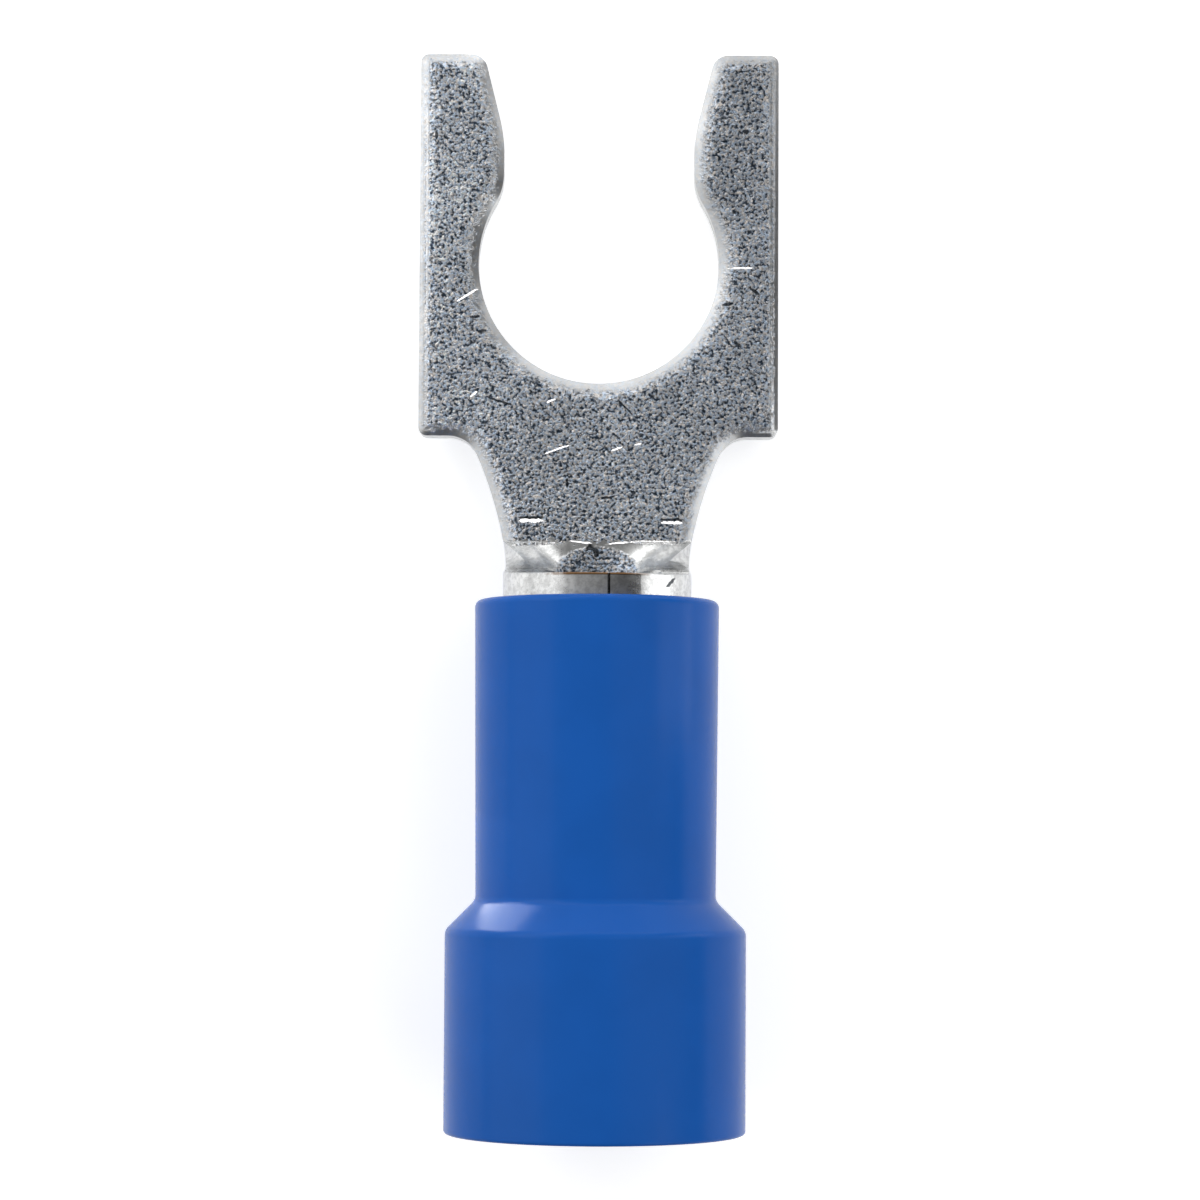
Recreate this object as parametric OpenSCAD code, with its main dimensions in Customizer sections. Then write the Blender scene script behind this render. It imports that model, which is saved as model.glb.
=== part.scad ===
// Locking fork terminal for a crimped wire.
// A tinned fork is stamped from sheet and rolled at its back end into a barrel for the bared wire.
// A plastic sleeve grips the barrel and opens behind it into a bell for the wire's insulation.
// The origin is the middle of the stud seat, on the face that lies on the terminal block.
// X runs across the prongs, Y towards their tips and Z up along the stud.

/* [Fork] */
// Thickness of the sheet
sheet_t = 0.8; // [0.6:0.05:1]
// Width across both prongs
fork_w = 7.6; // [7.2:0.1:9]
// Diameter of the round stud seat
seat_d = 5.1; // [4.5:0.05:5.4]
// Gap between the two locking bumps
throat_w = 4.05; // [3.6:0.05:4.4]
// Tips of the prongs ahead of the seat's centre
tip_y = 4.48; // [4:0.02:6]
// Shoulders of the fork behind the seat's centre
shoulder_y = 3.67; // [3.3:0.01:5]
// Straight stretch along the crest of a bump
bump_l = 0.48; // [0.2:0.02:1]
// Radius where a bump runs into the seat
bump_r = 1.2; // [0.8:0.1:1.6]
// Radius where a bump opens into its lead-in
lead_r = 2.9; // [1.5:0.1:4]
// Slope of the lead-in against the prong
lead_angle = 14; // [8:1:18]
// Radius of the inner corner of a tip
tip_inner_r = 0.36; // [0.2:0.02:0.5]
// Radius of the outer corner of a tip and of a shoulder
corner_r = 0.18; // [0.1:0.02:0.4]
// Width of the rounding that the press leaves along the upper edges
roll_w = 0.3; // [0.1:0.01:0.34]
// Depth of that rounding
roll_h = 0.16; // [0.06:0.01:0.2]

/* [Neck] */
// Length of the neck from the shoulders to the crease
neck_l = 2.24; // [1.8:0.02:3]
// Width of the neck at the crease
neck_w = 3.98; // [3.4:0.02:4.4]
// Slope of the neck's sides at the crease
neck_angle = 11; // [6:1:14]
// Radius of the neck's hollow sides
neck_r = 9; // [7:0.5:14]
// Radius of the fillets under the shoulders
neck_fillet_r = 0.65; // [0.4:0.05:0.9]

/* [Barrel] */
// Outside diameter of the rolled barrel
barrel_d = 3.9; // [3.4:0.05:4.6]
// Length of the closed barrel
barrel_l = 6.8; // [5:0.1:9]
// Length over which the flat sheet curls up into the barrel
curl_l = 0.66; // [0.4:0.02:1.2]
// How far the fronts of the two wings sweep back to the seam
wing_l = 0.2; // [0.1:0.02:0.5]
// Gap of the butted seam
seam_gap = 0.03; // [0.02:0.01:0.2]
// Turn of the seam away from the top
seam_turn = 7; // [0:1:20]
// Bevel at the wire's entry
mouth_bevel = 0.2; // [0.05:0.05:0.4]
// Number of gripping grooves inside the barrel
groove_count = 3; // [1:1:4]
// Width of a groove along the barrel
groove_w = 0.3; // [0.1:0.05:0.5]
// Depth of a groove
groove_depth = 0.08; // [0.04:0.01:0.2]
// Spacing of the grooves
groove_pitch = 1; // [0.6:0.1:1.2]

/* [Sleeve] */
// Length of barrel left bare in front of the sleeve
bare_l = 0.46; // [0.2:0.02:1]
// Wall of the part that grips the barrel
grip_wall = 0.555; // [0.3:0.005:0.9]
// Distance from the barrel's end to the funnel behind it
funnel_gap = 0.11; // [0:0.01:1]
// Taper of the grip's radius from front to back
grip_taper = 0.05; // [0:0.01:0.12]
// Step in radius from the grip to the bell
bell_step = 0.625; // [0.4:0.005:1.2]
// Length of the bell behind the step
bell_l = 4.15; // [3:0.01:7]
// Wall of the bell
bell_wall = 0.55; // [0.3:0.01:0.8]
// Slope of the step against the axis
step_angle = 45; // [30:1:60]
// Blend radius at both ends of the step
step_r = 0.25; // [0.1:0.05:0.4]
// Radius of the front rim's outer edge
front_rim_r = 0.15; // [0.05:0.01:0.2]
// Radius of the rear rim's edges
rear_rim_r = 0.08; // [0.04:0.01:0.15]
// Radial gap between the barrel and the sleeve
fit_gap = 0.02; // [0.01:0.005:0.1]

/* [Hidden] */
$fn = 96;

// Colours of the tin plate and of the plastic
tin_colour = [0.66, 0.68, 0.7];
blue_colour = [0.11, 0.33, 0.65];
// Depth to which a cutter runs past the face that it cuts
past = 0.05;
// Height above the sheet of the corner of the cutter that rounds the upper edges
roll_lift = past / 8;
// Stock left in the seat for its bore to remove
seat_stock = 0.2;
// Angles by which the bump and the seat stop short for that stock
bump_cut_back = 8;
seat_cut_back = 4;
// Smallest radius left on a corner when the die roll is wider than it
least_r = 0.004;
// Straight pieces in the rounding of the upper edges
roll_steps = 3;
// Straight pieces in the arcs of the outline, from the neck round the prong to the back of the seat
neck_steps = 6;
fillet_steps = 6;
corner_steps = 5;
tip_inner_steps = 6;
lead_steps = 4;
bump_steps = 6;
seat_steps = 16;
// Straight pieces in the roundings of the sleeve
rim_steps = 5;
// Columns across the sheet where it curls
curl_columns = 36;
// Rows along the sheet where it curls, and along the wings
curl_rows = 8;
wing_rows = 6;
// Depth to which the curled sheet laps into the flat neck
lap_l = 0.3;
// Depth to which it runs into the wall of the barrel, and its clearance there
root_l = 0.3;
root_gap = 0.02;
// Share of a quarter turn that the neck's edges have climbed when the barrel is full
edge_climb = 0.9;

seat_r = seat_d / 2;
barrel_r = barrel_d / 2;
bore_r = barrel_r - sheet_t;
// Radius of the middle of the rolled sheet
roll_r = barrel_r - sheet_t / 2;
crease_y = -(shoulder_y + neck_l);
wing_y = crease_y - curl_l;
barrel_y = wing_y - wing_l;

// Points of an arc
function arc(c, r, from, to, steps) =
    [for (i = [0:steps]) let (a = from + (to - from) * i / steps) c + r * [cos(a), sin(a)]];

// An outer corner set in by d: past its own radius it closes to a mitre along k
function corner(c, r, d, k, from, to, steps) =
    arc(c - max(d - r, 0) * k, max(r - d, least_r), from, to, steps);

function mix(a, b, share) = a + (b - a) * share;
function mirrored(points) = [for (i = [len(points) - 1:-1:0]) [-points[i].x, points[i].y]];
function without_last(points) = [for (i = [0:len(points) - 2]) points[i]];

// Centres of the arcs of the right half of the fork
bump_c = [throat_w / 2 + bump_r, sqrt((seat_r + bump_r) ^ 2 - (throat_w / 2 + bump_r) ^ 2)];
seat_end = atan2(bump_c.y, bump_c.x);
lead_c = [throat_w / 2 + lead_r, bump_c.y + bump_l];
lead_out = [-cos(lead_angle), sin(lead_angle)];
lead_start = lead_c + lead_r * lead_out;
tip_inner_y = tip_y - tip_inner_r;
tip_inner_c = [
    lead_start.x + ((tip_inner_y - lead_start.y) * sin(lead_angle) + tip_inner_r) / cos(lead_angle),
    tip_inner_y
];
tip_inner_k = [(sin(lead_angle) - 1) / cos(lead_angle), 1];
tip_outer_c = [fork_w / 2 - corner_r, tip_y - corner_r];
shoulder_c = [fork_w / 2 - corner_r, corner_r - shoulder_y];
neck_c = [neck_w / 2, crease_y] + neck_r * [cos(neck_angle), -sin(neck_angle)];
fillet_y = -shoulder_y - neck_fillet_r;
fillet_c = [neck_c.x - sqrt((neck_r - neck_fillet_r) ^ 2 - (fillet_y - neck_c.y) ^ 2), fillet_y];
fillet_end = atan2(fillet_c.y - neck_c.y, fillet_c.x - neck_c.x);

// Right half of the fork's outline set in by d, from the crease round the prong to the back of the seat
function half_outline(d, stock) =
    let (bump_end = 180 + seat_end - (stock > 0 ? bump_cut_back : 0))
    concat(
        without_last(arc(neck_c, neck_r + d, 180 - neck_angle, fillet_end, neck_steps)),
        arc(fillet_c, neck_fillet_r + d, fillet_end, 90, fillet_steps),
        corner(shoulder_c, corner_r, d, [1, -1], -90, 0, corner_steps),
        corner(tip_outer_c, corner_r, d, [1, 1], 0, 90, corner_steps),
        corner(tip_inner_c, tip_inner_r, d, tip_inner_k, 90, 180 - lead_angle, tip_inner_steps),
        arc(lead_c, lead_r - d, 180 - lead_angle, 180, lead_steps),
        arc(bump_c, bump_r - d, 180, bump_end, bump_steps),
        arc([0, 0], seat_r + d - stock, seat_end - seat_cut_back, -90, seat_steps)
    );

function outline(d, stock) =
    let (half = half_outline(d, stock))
    concat(half, mirrored(without_last(half)));

// The rounding of the upper edges as [distance in from the wall, height], from the wall to the top
roll_profile = [
    for (i = [0:roll_steps]) let (a = 90 * i / roll_steps)
    [roll_w * (1 - cos(a)), sheet_t - roll_h * (1 - sin(a))]
];

// The cutter for that rounding: its first and last straight pieces run on past the wall and the top
function run_on(from, to, length) = to + (to - from) / norm(to - from) * length;
roll_cutter = concat(
    [[-past, sheet_t + roll_lift]],
    [run_on(roll_profile[1], roll_profile[0], 2 * past)],
    [for (i = [1:roll_steps - 1]) roll_profile[i]],
    [run_on(roll_profile[roll_steps - 1], roll_profile[roll_steps], past)]
);

// Skins a list of rings that have the same number of points each, closed by the faces of a cap
module skin(rings, cap) {
    size = len(rings[0]);
    last = size * (len(rings) - 1);
    sides = [
        for (i = [0:len(rings) - 2], j = [0:size - 1])
        let (k = (j + 1) % size)
        [i * size + j, (i + 1) * size + j, (i + 1) * size + k, i * size + k]
    ];
    back = [for (face = cap) let (n = len(face)) [for (j = [0:n - 1]) last + face[(n - j) % n]]];
    polyhedron([for (ring = rings, p = ring) p], concat(sides, cap, back), convexity = 8);
}

// Where the rounding runs out of the neck's edge, ahead of the crease
run_out = [0.5, -0.3];
function roll_path(d) =
    let (p = outline(d, 0), n = len(p))
    concat([p[1] + run_out], [for (i = [2:n - 3]) p[i]], [p[n - 2] + [-run_out.x, run_out.y]]);

module edge_roll_cutter() {
    paths = [for (q = roll_cutter) roll_path(q.x)];
    rings = [
        for (i = [0:len(paths[0]) - 1])
        [for (j = [0:len(roll_cutter) - 1]) [paths[j][i].x, paths[j][i].y, roll_cutter[j].y]]
    ];
    cap = [[for (j = [0:len(roll_cutter) - 1]) j]];
    skin(rings, cap);
}

// The flat fork and neck, with the stud seat bored last
module fork() {
    difference() {
        linear_extrude(sheet_t) polygon(outline(0, seat_stock));
        edge_roll_cutter();
        translate([0, 0, -past]) cylinder(h = sheet_t + 2 * past, r = seat_r);
    }
}

// A point of the sheet, s across it and h above its underside, curled by a share of the barrel's bend
function curled(s, h, curl, y) =
    curl == 0 ? [s, y, h]
    : let (bend_r = roll_r / curl, a = s / bend_r * 180 / PI, r = bend_r + sheet_t / 2 - h)
    [r * sin(a), y, bend_r + sheet_t / 2 - r * cos(a)];

// Half the width of the sheet at a share of the bend, such that its lower edge carries on the neck's side
function curl_half(curl) =
    let (edge_x = mix(neck_w / 2, barrel_r * sin(90 * edge_climb), curl))
    curl == 0 ? neck_w / 2
    : let (bend_r = roll_r / curl) bend_r * asin(edge_x / (bend_r + sheet_t / 2)) * PI / 180;

// One row across the sheet: y, share of the bend, left and right edge, and clearance inside the barrel
function curl_row(share) = [crease_y - curl_l * share, share, -curl_half(share), curl_half(share), 0];
function wing_row(turn, y, gap) =
    let (
        share = 1 - cos(turn),
        half = mix(curl_half(1), PI * roll_r - seam_gap / 2 - 2 * gap, share),
        shift = roll_r * seam_turn * PI / 180 * share
    )
    [y, 1, -half - shift, half - shift, gap];
rows = concat(
    [[crease_y + lap_l, 0, -neck_w / 2, neck_w / 2, 0]],
    [for (i = [0:curl_rows]) curl_row(i / curl_rows)],
    [for (i = [1:wing_rows - 1]) let (a = 90 * i / wing_rows) wing_row(a, wing_y - wing_l * sin(a), 0)],
    [wing_row(90, barrel_y, root_gap), wing_row(90, barrel_y - root_l, root_gap)]
);

// The stretch where the flat neck curls up into the barrel and the wings sweep back to the seam
module curled_neck() {
    n = curl_columns;
    rings = [
        for (row = rows) concat(
            [for (j = [0:n]) curled(mix(row[2], row[3], j / n), row[4], row[1], row[0])],
            [for (j = [n:-1:0]) curled(mix(row[2], row[3], j / n), sheet_t - row[4], row[1], row[0])]
        )
    ];
    cap = [for (j = [0:n - 1]) [j, j + 1, 2 * n - j, 2 * n + 1 - j]];
    skin(rings, cap);
}

// Places a shape so that its Z runs back along the barrel from y
module along_barrel(y) {
    translate([0, y, barrel_r]) rotate([90, 0, 0]) children();
}

module barrel() {
    groove_z = (barrel_l - (groove_count - 1) * groove_pitch - groove_w) / 2;
    along_barrel(barrel_y) difference() {
        cylinder(h = barrel_l, r = barrel_r);
        translate([0, 0, -past]) cylinder(h = barrel_l + 2 * past, r = bore_r);
        translate([0, 0, barrel_l - mouth_bevel - past])
            cylinder(h = mouth_bevel + 2 * past, r1 = bore_r - past, r2 = bore_r + mouth_bevel + past);
        for (i = [0:groove_count - 1])
            translate([0, 0, groove_z + i * groove_pitch]) cylinder(h = groove_w, r = bore_r + groove_depth);
        rotate([0, 0, -seam_turn]) translate([-seam_gap / 2, 0, -past])
            cube([seam_gap, barrel_r + past, barrel_l + 2 * past]);
    }
}

module metal_terminal() {
    color(tin_colour) {
        fork();
        curled_neck();
        barrel();
    }
}

// Rounds the corner at b, between a and c, to radius r
function unit(v) = v / norm(v);
function turned(v, a) = [v.x * cos(a) - v.y * sin(a), v.x * sin(a) + v.y * cos(a)];
function rounded(a, b, c, r, steps) =
    let (
        u = unit(a - b),
        v = unit(c - b),
        half = acos(u * v) / 2,
        centre = b + unit(u + v) * r / sin(half),
        start = b + u * r / tan(half) - centre,
        end = b + v * r / tan(half) - centre,
        turn = atan2(cross(start, end), start * end)
    )
    [for (i = [0:steps]) centre + turned(start, turn * i / steps)];

// Sizes of the sleeve, with distances measured back from its front rim
sleeve_y = barrel_y - bare_l;
sleeve_bore_r = barrel_r + fit_gap;
front_r = sleeve_bore_r + grip_wall;
grip_r = front_r - grip_taper;
bell_r = grip_r + bell_step;
bell_bore_r = bell_r - bell_wall;
step_l = bell_step / tan(step_angle);
// The funnel runs alongside the step, one wall further in
funnel_z = barrel_l - bare_l + funnel_gap;
funnel_l = (bell_bore_r - sleeve_bore_r) / tan(step_angle);
grip_l = funnel_z - bell_wall * sin(step_angle)
    + (grip_r - bell_wall * cos(step_angle) - sleeve_bore_r) / tan(step_angle);
sleeve_l = grip_l + step_l + bell_l;

module insulating_sleeve() {
    front = [front_r, 0];
    step_start = [grip_r, grip_l];
    step_end = [bell_r, grip_l + step_l];
    rear = [bell_r, sleeve_l];
    mouth = [bell_bore_r, sleeve_l];
    funnel_end = [bell_bore_r, funnel_z + funnel_l];
    profile = concat(
        [[sleeve_bore_r, 0]],
        rounded([sleeve_bore_r, 0], front, step_start, front_rim_r, rim_steps),
        rounded(front, step_start, step_end, step_r, rim_steps),
        rounded(step_start, step_end, rear, step_r, rim_steps),
        rounded(step_end, rear, mouth, rear_rim_r, rim_steps),
        rounded(rear, mouth, funnel_end, rear_rim_r, rim_steps),
        [funnel_end, [sleeve_bore_r, funnel_z]]
    );
    color(blue_colour) along_barrel(sleeve_y) rotate_extrude() polygon(profile);
}

metal_terminal();
insulating_sleeve();
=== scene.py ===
"""Looks of a locking fork terminal: a tinned fork rolled into a barrel, in a blue sleeve, on a pale stage."""

import math

import bmesh
import bpy
from bpy.props import FloatProperty, FloatVectorProperty, IntProperty, PointerProperty
from mathutils import Matrix, Vector


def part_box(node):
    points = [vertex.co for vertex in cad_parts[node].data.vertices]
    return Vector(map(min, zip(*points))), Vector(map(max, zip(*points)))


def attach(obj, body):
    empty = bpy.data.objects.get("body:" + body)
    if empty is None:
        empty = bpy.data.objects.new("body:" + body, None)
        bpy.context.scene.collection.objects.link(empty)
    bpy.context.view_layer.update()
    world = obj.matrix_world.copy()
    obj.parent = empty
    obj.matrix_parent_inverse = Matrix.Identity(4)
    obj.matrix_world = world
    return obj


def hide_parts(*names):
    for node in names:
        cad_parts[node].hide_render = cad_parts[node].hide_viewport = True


bl_info = {
    "name": "Locking Fork Terminal",
    "version": (1, 0, 0),
    "blender": (4, 5, 0),
    "location": "View3D > Sidebar > Terminal",
    "description": "Builds the pieces, finishes and stage of a locking fork terminal",
    "category": "Object",
}

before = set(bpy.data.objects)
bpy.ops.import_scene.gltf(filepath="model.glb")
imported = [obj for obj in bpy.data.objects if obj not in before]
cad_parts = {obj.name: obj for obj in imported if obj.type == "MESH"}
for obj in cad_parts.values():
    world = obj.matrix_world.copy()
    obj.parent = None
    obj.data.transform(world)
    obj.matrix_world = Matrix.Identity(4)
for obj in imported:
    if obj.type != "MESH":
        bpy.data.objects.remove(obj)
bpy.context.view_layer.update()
METAL_LOW, METAL_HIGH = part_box("metal_terminal")
SLEEVE_LOW, SLEEVE_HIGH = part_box("insulating_sleeve")

MM = 0.001
# Points closer than this are one point
MERGE = 0.003 * MM
# Edges that turn by more than this are drawn sharp
SHARP_ANGLE = math.radians(35)

# Marks on the upper face in millimetres: centre across and along, length, width, and turn in degrees. Some are
# painted highlights and painted shade.
# Light marks: the first two are painted highlights on the lit walls of two pressed grooves, the last four a
# painted highlight along the crease, the rest light scratches
LIGHT_MARKS_AND_HIGHLIGHTS = (
    (-1.4, -5.48, 0.53, 0.085, 0), (1.56, -5.51, 0.48, 0.07, 0), (-2.78, -0.7, 0.56, 0.045, 34),
    (3.0, -0.1, 0.55, 0.04, 0), (-0.99, -2.94, 0.21, 0.045, 25), (-2.63, -2.81, 0.2, 0.045, 35),
    (-0.86, -3.97, 0.6, 0.035, 20), (0.4, -3.95, 0.28, 0.035, 20), (0.84, -3.85, 0.17, 0.035, 20),
    (-1.35, -5.97, 0.9, 0.07, 3), (-0.35, -5.93, 0.5, 0.04, -6), (0.45, -5.94, 0.45, 0.05, 4),
    (1.25, -5.93, 1.2, 0.09, -1),
)
# Dark marks: the first two are painted shade on the far walls of those grooves, the rest dark scratches and
# spots
DARK_MARKS_AND_SHADE = (
    (-1.4, -5.41, 0.55, 0.05, 0), (1.56, -5.44, 0.5, 0.05, 0), (-2.09, -2.95, 0.62, 0.05, -18),
    (0.57, -3.07, 0.46, 0.045, -47), (3.28, -0.59, 0.28, 0.07, -38), (-2.62, -1.16, 0.22, 0.07, 12),
    (-2.46, -1.46, 0.2, 0.06, 15), (2.72, -0.87, 0.24, 0.07, 10), (2.93, -1.72, 0.2, 0.06, -35),
    (-3.45, 2.71, 0.07, 0.14, 0), (3.1, 2.82, 0.14, 0.1, -30), (-0.64, -4.68, 0.2, 0.07, 90),
    (0.21, -4.98, 0.3, 0.05, 10), (0.73, -4.87, 0.15, 0.06, -25), (-0.14, -6.06, 0.2, 0.12, -15),
    (-0.03, -6.15, 0.2, 0.13, -60), (1.5, -6.93, 0.28, 0.06, 50),
)
# The noise that frays a mark's sides and its reach in half widths, how blunt the ends are, where it fades out
FRAY_NOISE = 12.0, 2.0, 0.5
FRAY = 1.2
BLUNTNESS = 4.0
MARK_SPAN = 1.3, 0.6

# Most of a field of noise lies in this span
NOISE_SPAN = 0.3, 0.7
WHITE = (1.0, 1.0, 1.0, 1.0)

# Plastic: cells to a millimetre, detail and roughness of its noises; shades of its clouds; its roughness
CLOUD_NOISE = 0.7, 3.0, 0.5
MOULD_NOISE = 9.0, 2.0, 0.5
CLOUD_SHADES = 0.97, 1.03
MOULD_ROUGH = 0.2, 0.26

# Steps round a corner of the sleeve's profile, and round its axis
RIM_STEPS = 8
SPIN_STEPS = 192

# Floor: how far it reaches to each side, its glow, and how far behind its step the bell touches it
FLOOR_HALF = 2.0
CAMERA_GLOW = 0.55
MIRROR_GLOW = 0.4
TOUCH_BACK = 0.1 * MM

# Studio: the direction in which it grows dim, the span along it and the brightness at both ends
DIM_TOWARDS = (0.85, -0.5, 0.0)
DIM_SPAN = -0.3, 0.5
DIM_LEVELS = 0.38, 0.09

# Lamps in millimetres: name, place, target, width, height, brightness of the face, and use.
# Some only light the surfaces, and some are only mirrored in them.
MIDDLE = (0, -7, 1)
ALL_LIGHT, LIGHT_ONLY, MIRROR_ONLY = "all", "light", "mirror"
LAMPS = (
    ("left_box", (-72, -10, 38), MIDDLE, 90, 66, 0.78, ALL_LIGHT),
    ("key_box", (-56, 52, 42), MIDDLE, 80, 60, 1.6, ALL_LIGHT),
    ("front_box", (14, 80, 34), MIDDLE, 90, 45, 1.3, ALL_LIGHT),
    ("fill_box", (50, -52, 35), MIDDLE, 50, 40, 1.6, ALL_LIGHT),
    ("soft_box", (55, 8, 60), MIDDLE, 90, 90, 1.25, LIGHT_ONLY),
    ("side_box", (-58, -15, 42), MIDDLE, 60, 60, 0.5, LIGHT_ONLY),
    ("low_card", (-3.3, -11.45, 1.5), (-3.5, -12.43, 1.5), 3.2, 4.8, 7.5, MIRROR_ONLY),
    ("flank_card", (14, -7.2, 6), (0, -6.9, 3), 4, 10, 1.9, MIRROR_ONLY),
    ("curl_card", (14, 9, 7), (1, -6.5, 2), 6, 6, 1.6, MIRROR_ONLY),
)

# Camera, with its place and target in millimetres
CAMERA_PLACE = (0.06, -11.77, 76.95)
CAMERA_TARGET = (0.06, -7.215, 1.95)
CAMERA_ROLL = math.radians(0.3)
CAMERA_SENSOR = 36
CAMERA_LENS = 108.9
CAMERA_CLIP = 1 * MM


def length(name, description, default):
    """A length that a user may change."""
    return FloatProperty(name=name, description=description, default=default, unit="LENGTH", precision=5)


def angle(name, description, degrees):
    """An angle that a user may change."""
    return FloatProperty(
        name=name, description=description, default=math.radians(degrees), subtype="ANGLE", unit="ROTATION"
    )


def colour(name, description, default):
    """A colour that a user may change."""
    return FloatVectorProperty(
        name=name, description=description, default=default, size=3, min=0, max=1, subtype="COLOR"
    )


class ForkSizes(bpy.types.PropertyGroup):
    sheet: length("Sheet", "Thickness of the sheet", 0.8 * MM)
    width: length("Width", "Width across both prongs", METAL_HIGH.x - METAL_LOW.x)
    tip: length("Tip", "Tips of the prongs ahead of the seat's centre", METAL_HIGH.y)
    seat: length("Seat", "Diameter of the round stud seat", 5.1 * MM)
    throat: length("Throat", "Gap between the two locking bumps", 4.05 * MM)
    shoulder: length("Shoulder", "Shoulders of the fork behind the seat's centre", 3.67 * MM)
    bump_l: length("Bump", "Straight stretch along the crest of a bump", 0.48 * MM)
    bump_r: length("Bump Radius", "Radius where a bump runs into the seat", 1.2 * MM)
    lead_r: length("Lead-in Radius", "Radius where a bump opens into its lead-in", 2.9 * MM)
    lead_angle: angle("Lead-in Slope", "Slope of the lead-in against the prong", 14)
    tip_inner_r: length("Tip Radius", "Radius of the inner corner of a tip", 0.36 * MM)
    corner_r: length("Corner Radius", "Radius of the outer corners of a tip and a shoulder", 0.18 * MM)
    roll_w: length(
        "Roll Width", "Width of the rounding that the press leaves along the upper edges", 0.46 * MM
    )
    roll_angle: angle("Roll Slope", "Slope of that rounding at the cut edge", 37)
    edge_break: length("Lower Edge", "Bevel along the lower edges", 0.025 * MM)


class BarrelSizes(bpy.types.PropertyGroup):
    neck_l: length("Neck", "Length of the neck from the shoulders to the crease", 2.24 * MM)
    neck_w: length("Neck Width", "Width of the neck at the crease", 3.98 * MM)
    neck_angle: angle("Neck Slope", "Slope of the neck's sides at the crease", 11)
    neck_r: length("Neck Radius", "Radius of the neck's hollow sides", 9 * MM)
    fillet_r: length("Fillet Radius", "Radius of the fillets under the shoulders", 0.65 * MM)
    diameter: length("Barrel", "Outside diameter of the rolled barrel", METAL_HIGH.z)
    rear: length("Rear", "Rear end of the barrel behind the seat's centre", -METAL_LOW.y)
    curl_l: length("Curl", "Length over which the flat sheet curls up into the barrel", 0.66 * MM)
    wing_l: length("Wing", "How far the fronts of the two wings sweep back to the seam", 0.2 * MM)
    seam_gap: length("Seam", "Gap of the butted seam", 0.03 * MM)
    seam_turn: angle("Seam Turn", "Turn of the seam away from the top", 7)
    edge_climb: angle("Climb", "Turn of the sheet's edges where the barrel is full", 81)
    grooves: IntProperty(name="Grooves", description="Number of gripping grooves inside", default=3, min=1)
    groove_w: length("Groove", "Width of a groove along the barrel", 0.3 * MM)
    groove_depth: length("Groove Depth", "Depth of a groove", 0.08 * MM)
    groove_pitch: length("Groove Pitch", "Spacing of the grooves", 1 * MM)


class SleeveSizes(bpy.types.PropertyGroup):
    front_r: length("Front", "Radius of the front rim", 2.525 * MM)
    grip_r: length("Grip", "Radius of the grip at its back end", 2.475 * MM)
    bell_r: length("Bell", "Radius of the bell", SLEEVE_HIGH.x)
    bore_r: length("Bore", "Radius of the bore round the barrel", 1.97 * MM)
    bell_bore_r: length("Bell Bore", "Radius of the bell's bore", 2.55 * MM)
    step: length("Step", "Back end of the step, ahead of the rear rim", 4.15 * MM)
    funnel: length("Funnel", "Back end of the funnel, ahead of the rear rim", 3.92 * MM)
    step_angle: angle("Step Slope", "Slope of the step and the funnel against the axis", 45)
    step_r: length("Step Radius", "Blend radius at both ends of the step", 0.25 * MM)
    front_rim_r: length("Front Edge", "Radius of the front rim's outer edge", 0.15 * MM)
    rear_rim_r: length("Rear Edge", "Radius of the rear rim's edges", 0.08 * MM)


class Finishes(bpy.types.PropertyGroup):
    tin: colour("Tin", "Bright tin of the pressed edges and the barrel", (0.73, 0.735, 0.73))
    grain_light: colour("Light Grain", "Light grains of the dull plate", (0.83, 0.87, 0.92))
    grain_dark: colour("Dark Grain", "Dark grains of the dull plate", (0.06, 0.08, 0.105))
    # Dark brown of the painted shade along the barrel's front edge
    painted_gap_shade: colour("Painted Gap Shade", "Bare copper where the plated sheet was cut", (0.2, 0.11, 0.05))
    blue: colour("Blue", "Colour of the plastic", (0.011, 0.109, 0.46))
    floor: colour("Floor", "Colour of the floor", (0.9, 0.9, 0.9))


class TerminalSettings(bpy.types.PropertyGroup):
    fork: PointerProperty(type=ForkSizes)
    barrel: PointerProperty(type=BarrelSizes)
    sleeve: PointerProperty(type=SleeveSizes)
    finishes: PointerProperty(type=Finishes)


class Pen:
    """Draws a chain of edges: lines by extruding its last point, arcs by spinning it."""

    def __init__(self, bm, x, y, z=0.0):
        self.bm = bm
        self.tip = bm.verts.new((x, y, z))

    def line(self, x, y):
        self.tip = bmesh.ops.extrude_vert_indiv(self.bm, verts=[self.tip])["verts"][0]
        self.tip.co.xy = x, y

    def arc(self, centre, turn, steps):
        made = bmesh.ops.spin(
            self.bm, geom=[self.tip], cent=(*centre, self.tip.co.z), axis=(0, 0, 1), angle=turn, steps=steps
        )
        self.tip = next(part for part in made["geom_last"] if isinstance(part, bmesh.types.BMVert))

    def rounded(self, corner, after, radius, steps):
        """Goes towards a corner and rounds it on the way to the point after it."""
        corner = Vector(corner)
        back = (self.tip.co.xy - corner).normalized()
        on = (Vector(after) - corner).normalized()
        half = back.angle(on) / 2
        centre = corner + (back + on).normalized() * radius / math.sin(half)
        start = corner + back * radius / math.tan(half)
        end = corner + on * radius / math.tan(half)
        turn = math.atan2((start - centre).cross(end - centre), (start - centre).dot(end - centre))
        self.line(*start)
        self.arc(centre, turn, steps)


def polar(centre, radius, turn):
    """The point at a radius and a turn from a centre."""
    return Vector(centre) + radius * Vector((math.cos(turn), math.sin(turn)))


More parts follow.
